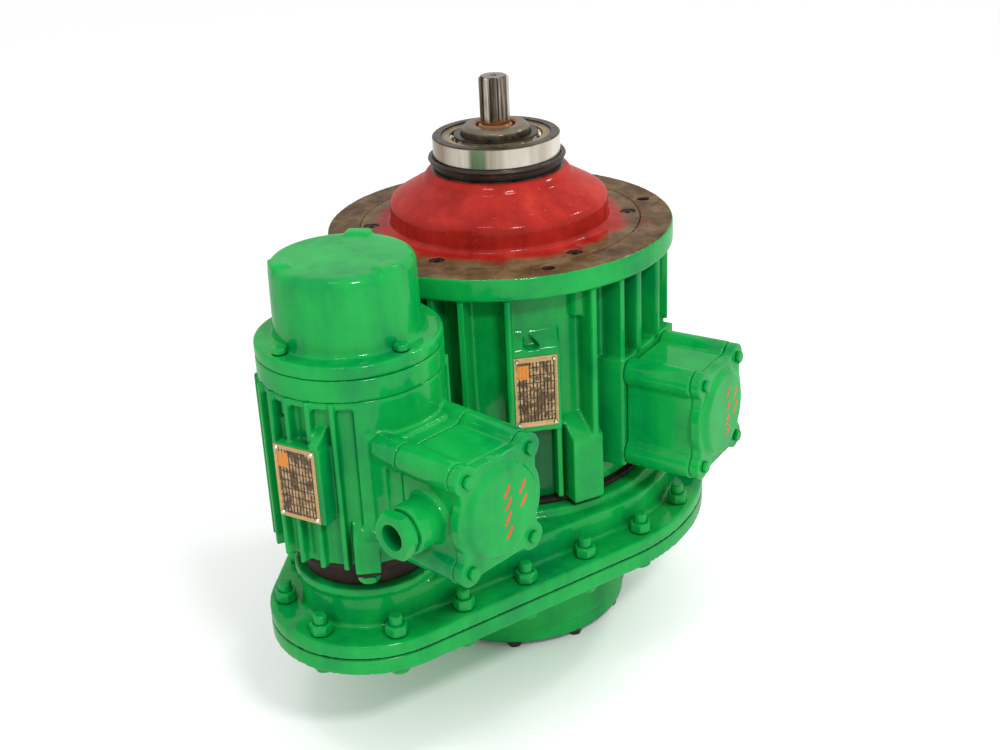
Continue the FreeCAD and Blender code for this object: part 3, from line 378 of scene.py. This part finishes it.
def cover_enamel():
    """Red enamel of the front cover: bare brown flange edge, painted shade below the flange face round
    the screw wells, rusty neck end.
    """
    made, tree, shader = new_material("front_cover_enamel")
    radius, height = radius_and_height(tree)
    red = paint_colour(tree, RED_DARK, RED, RED_LIGHT)
    specks = step_up(tree, noise(tree, 330, 3, 0.7), 0.66, 0.72)
    red = blend(tree, times(tree, specks, 0.45), red, (0.50, 0.20, 0.07))
    chips = step_up(tree, noise(tree, 75, 5, 0.75), 0.66, 0.70)
    red = blend(tree, times(tree, chips, step_up(tree, height, *CHIPPED_Z)), red, OIL_BROWN)
    brown = ramp(tree, noise(tree, 30, 4, 0.65), (0.30, DARK_RUST_AND_HOLE_SHADE), (0.5, OIL_BROWN),
                 (0.72, (0.175, 0.112, 0.050)))
    cloudy = plus(tree, radius, wander(tree, noise(tree, 28, 5, 0.7), 0.05))
    flange = times(tree, step_up(tree, cloudy, *COVER_FLANGE_R),
                   step_up(tree, height, *COVER_FLANGE_Z))
    red = blend(tree, flange, red, brown)
    # painted shade: near-black on the cover's faces below the flange face, outside the screws' inner
    # radius
    well_shade = times(tree, step_up(tree, radius, *SCREW_WELL_R), step_up(tree, height, *SCREW_WELL_Z))
    red = blend(tree, well_shade, red, (0.012, 0.008, 0.006))
    bare = ramp(tree, noise(tree, 120, 4, 0.7), (0.35, (0.018, 0.014, 0.009)),
                (0.6, (0.070, 0.056, 0.038)))
    bevel = times(tree, step_up(tree, radius, *NECK_BEVEL_R), step_up(tree, height, *NECK_BEVEL_Z))
    bare = blend(tree, times(tree, bevel, 0.5), bare, (0.24, 0.20, 0.14))
    foot = plus(tree, radius, times(tree, noise(tree, 110, 4, 0.7), 0.008))
    bare = blend(tree, step_up(tree, foot, *NECK_RUST_R), bare, (0.26, 0.085, 0.018))
    neck = step_up(tree, height, *NECK_Z)
    dull = times(tree, calc(tree, "MAXIMUM", flange, neck), 0.22)
    wire(tree, shader, Base_Color=blend(tree, neck, red, bare), Normal=paint_bump(tree, 0.0011),
         Roughness=plus(tree, ENAMEL_ROUGH, dull), Metallic=times(tree, neck, 0.6),
         Specular_IOR_Level=0.0, Coat_Weight=0.26, Coat_Roughness=0.12)
    return made


def steel(name, dark, light, rough, stain=0.0, metallic=1.0):
    """Machined steel with turning marks, cloudy tone and rust stains."""
    made, tree, shader = new_material(name)
    cloud = noise(tree, 60, 5, 0.65)
    marks = noise(tree, 40, 2, 0.5, (1, 1, 60))
    share = plus(tree, times(tree, cloud, 0.7), times(tree, marks, 0.3))
    colour = ramp(tree, share, (0.3, dark), (0.7, light))
    rusty = times(tree, step_up(tree, noise(tree, 85, 6, 0.75), 0.56, 0.70), stain)
    wire(tree, shader, Base_Color=blend(tree, rusty, colour, RUST),
         Metallic=calc(tree, "SUBTRACT", metallic, rusty, True),
         Roughness=plus(tree, times(tree, cloud, 0.16), rough),
         Normal=bump(tree, plus(tree, marks, times(tree, cloud, 0.5)), 0.00006))
    return made


def bearing_ring_steel():
    """Ground rim, stained brown on one side; dark oily end faces."""
    made, tree, shader = new_material("bearing_ring_steel")
    height = radius_and_height(tree)[1]
    streaks = noise(tree, 26, 4, 0.6, (1, 1, 0.12))
    rim = ramp(tree, streaks, (0.30, (0.30, 0.26, 0.20)), (0.48, (0.56, 0.52, 0.44)),
               (0.66, (0.72, 0.69, 0.61)))
    side = add(tree, "ShaderNodeSeparateXYZ", {0: place(tree)}).outputs[1]
    stained = step_up(tree, plus(tree, side, wander(tree, streaks, 0.05)), *RING_STAIN_Y)
    rim = blend(tree, times(tree, stained, 0.8), rim, (0.13, 0.075, 0.035))
    oily = ramp(tree, noise(tree, 110, 5, 0.7), (0.35, (0.017, 0.013, 0.006)),
                (0.65, (0.078, 0.060, 0.029)))
    face = step_up(tree, height, *RING_FACE_Z)
    wire(tree, shader, Base_Color=blend(tree, face, rim, oily), Metallic=0.85,
         Roughness=plus(tree, 0.20, times(tree, face, 0.22)), Normal=bump(tree, streaks, 0.00008))
    return made


def spline_steel():
    """Rolled and oiled shaft end: long dark and bright streaks along it are painted reflections, the
    valleys get painted shade, rust at its foot.
    """
    made, tree, shader = new_material("spline_steel")
    radius, height = radius_and_height(tree)
    streaks = noise(tree, 210, 4, 0.7, (1, 1, 0.03))
    # painted reflections: dark to bright streaks along the shaft stand in for the lands' reflections
    colour = ramp(tree, streaks, (0.36, (0.030, 0.022, 0.015)), (0.50, (0.20, 0.165, 0.12)),
                  (0.64, (0.62, 0.57, 0.48)))
    # painted shade: darker in the valleys between the splines
    valley_shade = times(tree, step_up(tree, radius, *SPLINE_VALLEY_R), 0.75)
    colour = blend(tree, valley_shade, colour, (0.035, 0.022, 0.014))
    foot = plus(tree, height, times(tree, noise(tree, 150, 4, 0.7), 0.010))
    colour = blend(tree, step_up(tree, foot, *SPLINE_RUST_Z), colour, (0.24, 0.10, 0.035))
    wire(tree, shader, Base_Color=colour, Metallic=0.9, Roughness=0.24,
         Normal=bump(tree, streaks, 0.0001))
    return made


def cast(name, dark, light, rough=0.62, grit=0.0005):
    """Unpainted or primed rough casting."""
    made, tree, shader = new_material(name)
    cloud = noise(tree, 35, 6, 0.7)
    wire(tree, shader, Base_Color=ramp(tree, cloud, (0.3, dark), (0.7, light)), Metallic=0.15,
         Roughness=ramp(tree, cloud, (0.3, rough), (0.7, rough - 0.18)), Specular_IOR_Level=0.2,
         Normal=bump(tree, noise(tree, 260, 4, 0.7), grit))
    return made


def friction_lining():
    """Dark pressed lining with brassy flecks."""
    made, tree, shader = new_material("brake_lining")
    inputs = {"Vector": place(tree), "Scale": 700.0}
    flecks = add(tree, "ShaderNodeTexVoronoi", inputs).outputs["Distance"]
    colour = ramp(tree, flecks, (0.1, (0.20, 0.12, 0.05)), (0.5, (0.06, 0.045, 0.035)))
    wire(tree, shader, Base_Color=colour, Roughness=0.8, Normal=bump(tree, flecks, 0.0002))
    return made


def winding_copper():
    """Varnished turns laid side by side round the ring."""
    made, tree, shader = new_material("winding_copper")
    turns = waves(tree, 260.0, Distortion=6.0, Detail=2.0)
    colour = ramp(tree, turns, (0.2, (0.10, 0.03, 0.01)), (0.8, (0.42, 0.16, 0.05)))
    wire(tree, shader, Base_Color=colour, Roughness=0.35, Normal=bump(tree, turns, 0.0006))
    return made


def sheet_stack():
    """Edges of stacked laminations."""
    made, tree, shader = new_material("sheet_stack")
    sheets = waves(tree, 620.0)
    colour = ramp(tree, sheets, (0.2, (0.10, 0.10, 0.11)), (0.8, (0.34, 0.34, 0.36)))
    wire(tree, shader, Base_Color=colour, Metallic=0.9, Roughness=0.42,
         Normal=bump(tree, sheets, 0.0001))
    return made


def plate_brass(name, node, at):
    """Etched brass plate: plain ruled bands run up it, one orange corner square, no writing."""
    made, tree, shader = new_material(name)
    inputs = {0: place(tree), 1: middle(node)}
    offset = add(tree, "ShaderNodeVectorMath", inputs, operation="SUBTRACT").outputs[0]
    inputs = {0: offset, 1: outward(node, at)[1]}
    u = add(tree, "ShaderNodeVectorMath", inputs, operation="DOT_PRODUCT").outputs["Value"]
    v = add(tree, "ShaderNodeSeparateXYZ", {0: offset}).outputs[2]
    inside = times(tree, step_up(tree, calc(tree, "ABSOLUTE", u), *PLATE_MARGIN_U),
                   step_up(tree, calc(tree, "ABSOLUTE", v), *PLATE_MARGIN_V))

    ruled = calc(tree, "SINE", times(tree, u, 2 * math.pi / RULE_PITCH))
    broken = wander(tree, noise(tree, 330, 3, 0.6, (1, 1, 0.55)), 3.4)
    ink = times(tree, step_up(tree, plus(tree, ruled, broken), 0.1, 0.7), inside)
    crossed = calc(tree, "SINE", times(tree, v, 2 * math.pi / CROSS_PITCH))
    ink = calc(tree, "MAXIMUM", ink, times(tree, step_up(tree, crossed, 0.80, 0.95), 0.8))
    patches = times(tree, step_up(tree, noise(tree, 105, 2, 0.5), 0.53, 0.57), 0.75)
    ink = calc(tree, "MAXIMUM", ink, patches)

    brass = ramp(tree, noise(tree, 130, 5, 0.7), (0.34, (0.13, 0.060, 0.022)),
                 (0.62, (0.48, 0.33, 0.16)))
    colour = blend(tree, ink, brass, (0.040, 0.024, 0.014))
    colour = blend(tree, inside, (0.46, 0.30, 0.13), colour)
    square = times(tree, *(step_up(tree, u, *edge) for edge in SQUARE_U),
                   *(step_up(tree, v, *edge) for edge in SQUARE_V))
    colour = blend(tree, square, colour, (0.62, 0.22, 0.04))
    wire(tree, shader, Base_Color=colour, Metallic=0.55,
         Roughness=plus(tree, 0.34, times(tree, ink, 0.25)), Normal=bump(tree, ink, 0.00025))
    return made


def make_materials():
    """Material of each slot, and of the three nodes that have one of their own."""
    ring_steel = bearing_ring_steel()
    return {
        "green_enamel": enamel("green_enamel"),
        "red_enamel": cover_enamel(),
        "bearing_steel": steel("bearing_steel", (0.36, 0.33, 0.28), (0.70, 0.66, 0.58), 0.16, 0.25),
        "shaft_steel": steel("shaft_steel", (0.22, 0.19, 0.15), (0.56, 0.52, 0.45), 0.18, 0.35),
        "drum_bearing_outer_ring": ring_steel,
        "drum_bearing_inner_ring": ring_steel,
        "main_shaft": spline_steel(),
        "dark_steel": steel("dark_steel", (0.010, 0.008, 0.007), (0.045, 0.032, 0.024), 0.36, 0.3,
                            metallic=0.5),
        "rusty_iron": cast("rusty_iron", (0.006, 0.006, 0.004), (0.032, 0.016, 0.010), 0.75),
        "cast_iron": cast("cast_iron", (0.06, 0.06, 0.065), (0.20, 0.20, 0.21)),
        "lamination": sheet_stack(),
        "winding": winding_copper(),
        "gear_steel": steel("gear_steel", (0.24, 0.24, 0.25), (0.50, 0.50, 0.52), 0.24, 0.05),
        "bronze": steel("bronze", (0.34, 0.20, 0.07), (0.62, 0.42, 0.17), 0.28),
        "friction": friction_lining(),
        "spring_steel": steel("spring_steel", (0.06, 0.06, 0.07), (0.20, 0.20, 0.22), 0.3),
        "moulding": cast("moulding", (0.035, 0.018, 0.012), (0.07, 0.035, 0.022), 0.5, 0.0001),
        "gasket_paper": enamel("painted_gasket", (0.0, 0.06, 0.016), (0.001, 0.12, 0.028),
                               (0.004, 0.17, 0.035)),
        "zinc_bolt": steel("zinc_bolt", (0.30, 0.30, 0.28), (0.58, 0.57, 0.52), 0.3),
        "bare_cage": steel("bare_cage", (0.20, 0.13, 0.05), (0.45, 0.33, 0.15), 0.35),
    }


# ---------------------------------------------------------------- pieces
# each casting: size of its rounding (mm), smoothing rounds, share of the faces kept
CASTINGS = {
    "main_frame": (1.6, 4, 0.3), "front_cover": (1.5, 4, 0.4), "aux_frame": (1.3, 4, 0.35),
    "aux_end_shield": (1.3, 3, 0.35), "aux_brake_cover": (1.2, 16, 0.35),
    "gearbox_upper_housing": (1.8, 4, 0.3), "gearbox_lower_housing": (1.8, 4, 0.3),
    "bottom_cover": (1.5, 4, 0.35), "main_terminal_box": (1.2, 6, 0.35),
    "aux_terminal_box": (1.2, 6, 0.35), "main_terminal_cover": (0.9, 9, 0.35),
    "aux_terminal_cover": (0.9, 9, 0.35), "cable_gland_nuts": (0.6, 5, 0.4),
    "gearbox_rim_bolts": (0.7, 3, 0.4), "gearbox_rim_nuts": (0.6, 4, 0.4),
    "main_lower_shield": (1.6, 3, 0.35), "aux_lower_shield": (1.4, 3, 0.35),
    "terminal_cover_bolts": (0.5, 4, 0.4), "aux_cover_bolts": (0.5, 4, 0.4),
}
SHIELD_IN, SHIELD_STEP, SHIELD_MIDDLE, SHIELD_OUT = 0.0455, 0.0470, 0.0485, 0.0516
SHIELD_SUNK = 0.0016
TURNED_SEGMENTS = 160
STROKE_WIDTH, STROKE_BEND, STROKE_THICK, STROKE_SEED = 0.0014, 0.0006, 0.00028, 7
# each stroke: across, up, length (metres) and lean (radians)
AUX_STROKES = [(0.003, 0.017, 0.013, 0.5), (0.004, 0.005, 0.012, 0.5), (0.003, -0.008, 0.013, 0.45),
               (0.004, -0.021, 0.012, 0.55), (0.021, 0.014, 0.013, 0.5), (0.022, 0.001, 0.012, 0.55)]
MAIN_STROKES = [(0.006, 0.018, 0.013, 0.5), (0.007, 0.004, 0.012, 0.45), (0.006, -0.010, 0.013, 0.55),
                (0.007, -0.022, 0.012, 0.5), (0.022, 0.010, 0.013, 0.5), (0.023, -0.004, 0.013, 0.5)]
PLATE_RIM, PLATE_LIP, PLATE_BEVEL, PLATE_SLOPE = 0.0016, 0.0004, 0.0003, 0.0004


def add_piece(name, mesh, body, material, replaced=()):
    """Visible piece that rides on a body, in place of the nodes it replaces."""
    piece = bpy.data.objects.new(name, mesh)
    bpy.context.collection.objects.link(piece)
    mesh.materials.clear()
    mesh.materials.append(material)
    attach(piece, body)
    if replaced:
        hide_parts(*replaced)
    return piece


def baked(piece):
    """The piece's mesh with its modifiers applied."""
    bpy.context.view_layer.update()
    evaluated = piece.evaluated_get(bpy.context.evaluated_depsgraph_get())
    mesh = bpy.data.meshes.new_from_object(evaluated)
    bpy.data.objects.remove(piece)
    return mesh


def soft_casting(node, voxel, rounds, thin, material):
    """The node's own shape with the rounded edges and filled corners of a painted casting."""
    source = frame["nodes"][node].data.copy()
    welded = bmesh.new()
    welded.from_mesh(source)
    bmesh.ops.remove_doubles(welded, verts=welded.verts, dist=1e-6)
    welded.to_mesh(source)
    welded.free()
    worker = bpy.data.objects.new(node + "_work", source)
    bpy.context.collection.objects.link(worker)
    remesh = worker.modifiers.new("remesh", "REMESH")
    remesh.mode, remesh.voxel_size = "VOXEL", voxel
    smooth = worker.modifiers.new("smooth", "SMOOTH")
    smooth.factor, smooth.iterations = 0.5, rounds
    fewer = worker.modifiers.new("fewer", "DECIMATE")
    fewer.ratio = thin
    mesh = baked(worker)
    mesh.name = node + "_casting"
    mesh.shade_smooth()
    return add_piece(node + "_casting", mesh, body_of_node[node], material, [node])


def add_castings(materials):
    special = {"main_frame": frame_enamel()}
    for node, (voxel, rounds, thin) in CASTINGS.items():
        soft_casting(node, voxel * MM, rounds, thin, special.get(node, materials[slots[node]]))


def turned(name, profile):
    """Closed ring turned about the main shaft line from an outline of (radius, height) points."""
    verts, faces, count = [], [], len(profile)
    for s in range(TURNED_SEGMENTS):
        a = 2 * math.pi * s / TURNED_SEGMENTS
        verts += [(r * math.cos(a), r * math.sin(a), z) for r, z in profile]
        this, following = s * count, (s + 1) % TURNED_SEGMENTS * count
        faces += [(this + k, following + k, following + (k + 1) % count, this + (k + 1) % count)
                  for k in range(count)]
    mesh = bpy.data.meshes.new(name)
    mesh.from_pydata(verts, [], faces)
    sorted_out = bmesh.new()
    sorted_out.from_mesh(mesh)
    bmesh.ops.recalc_face_normals(sorted_out, faces=sorted_out.faces)
    sorted_out.to_mesh(mesh)
    sorted_out.free()
    mesh.shade_smooth()
    return mesh


def bearing_shield(material):
    """Pressed shield ring that closes the balls' gap on the outer ring."""
    z = BEARING_TOP - SHIELD_SUNK
    profile = [(SHIELD_OUT, z), (SHIELD_OUT - 0.0008, z + 0.0006), (SHIELD_MIDDLE, z - 0.0002),
               (SHIELD_STEP, z - 0.0009), (SHIELD_IN, z - 0.0006), (SHIELD_IN, z - 0.0012),
               (SHIELD_STEP, z - 0.0015), (SHIELD_MIDDLE, z - 0.0008), (SHIELD_OUT, z - 0.0004)]
    return add_piece("drum_bearing_shield", turned("drum_bearing_shield", profile),
                     "drum_bearing_ring", material)


def brush_marks(name, node, at, strokes, material):
    """Thick dabs of red paint on a terminal cover: short plain strokes, in the cover's own plane."""
    centre = middle(node)
    out, across = outward(node, at)
    face = max((Vector(v.co) - centre).dot(out) for v in frame["nodes"][node].data.vertices)
    made = bmesh.new()
    draw = random.Random(STROKE_SEED)
    for u, w, length, lean in strokes:
        spot = centre + out * face + across * u + UP * w
        line = math.cos(lean) * UP + math.sin(lean) * across
        beside = out.cross(line)
        dab = bmesh.ops.create_icosphere(made, subdivisions=3, radius=1.0)["verts"]
        for v in dab:
            blunt = max(0.35, math.sqrt(max(0.0, 1 - v.co.x ** 2))) ** 0.7
            width = STROKE_WIDTH * (1 + 0.15 * draw.uniform(-1, 1)) / blunt
            bend = STROKE_BEND * math.sin(v.co.x * 2.2 + lean * 7)
            v.co = (spot + line * v.co.x * length / 2 + beside * (v.co.y * width + bend)
                    + out * v.co.z * STROKE_THICK)
    mesh = bpy.data.meshes.new(name)
    made.to_mesh(mesh)
    made.free()
    mesh.shade_smooth()
    return add_piece(name, mesh, "casing", material)


def nameplate(node, at, material):
    """Thin plate with a raised rim, on the pad where the plain sheet sits."""
    centre = middle(node)
    out, across = outward(node, at)
    points = [Vector(v.co) - centre for v in frame["nodes"][node].data.vertices]
    half_u = max(abs(p.dot(across)) for p in points)
    half_v = max(abs(p.z) for p in points)
    back, front = min(p.dot(out) for p in points), max(p.dot(out) for p in points)
    # each ring: how far inside the plate's edge, and how far out from its middle
    rings = [(0, back), (0, front - PLATE_BEVEL), (PLATE_BEVEL, front), (PLATE_RIM, front),
             (PLATE_RIM + PLATE_SLOPE, front - PLATE_LIP)]
    verts, faces = [], []
    for inset, depth in rings:
        verts += [centre + across * (su * (half_u - inset)) + UP * (sv * (half_v - inset)) + out * depth
                  for su, sv in ((-1, -1), (1, -1), (1, 1), (-1, 1))]
    for r in range(len(rings) - 1):
        faces += [(4 * r + k, 4 * r + (k + 1) % 4, 4 * r + 4 + (k + 1) % 4, 4 * r + 4 + k)
                  for k in range(4)]
    last = 4 * (len(rings) - 1)
    faces += [(3, 2, 1, 0), (last, last + 1, last + 2, last + 3)]
    mesh = bpy.data.meshes.new(node + "_etched")
    mesh.from_pydata(verts, [], faces)
    return add_piece(node + "_etched", mesh, "casing", material, [node])


def dress_nodes(materials):
    """Every CAD node keeps its shape and gets its own material or its slot's."""
    for name, node in frame["nodes"].items():
        if slots[name] == "brass_plate":
            continue
        node.data.materials.clear()
        node.data.materials.append(materials.get(name, materials[slots[name]]))


add_camera()
add_stage()
materials = make_materials()
dress_nodes(materials)
add_castings(materials)
bearing_shield(steel("shield_steel", (0.09, 0.07, 0.05), (0.26, 0.22, 0.17), 0.3, 0.3))
red_marks = enamel("red_marks", (0.45, 0.02, 0.01), (0.62, 0.05, 0.015), (0.68, 0.09, 0.02), 0.0002)
brush_marks("aux_cover_marks", "aux_terminal_cover", AUX, AUX_STROKES, red_marks)
brush_marks("main_cover_marks", "main_terminal_cover", MAIN, MAIN_STROKES, red_marks)
for node, at in (("main_nameplate", MAIN), ("aux_nameplate", AUX)):
    nameplate(node, at, plate_brass(node + "_brass", node, at))
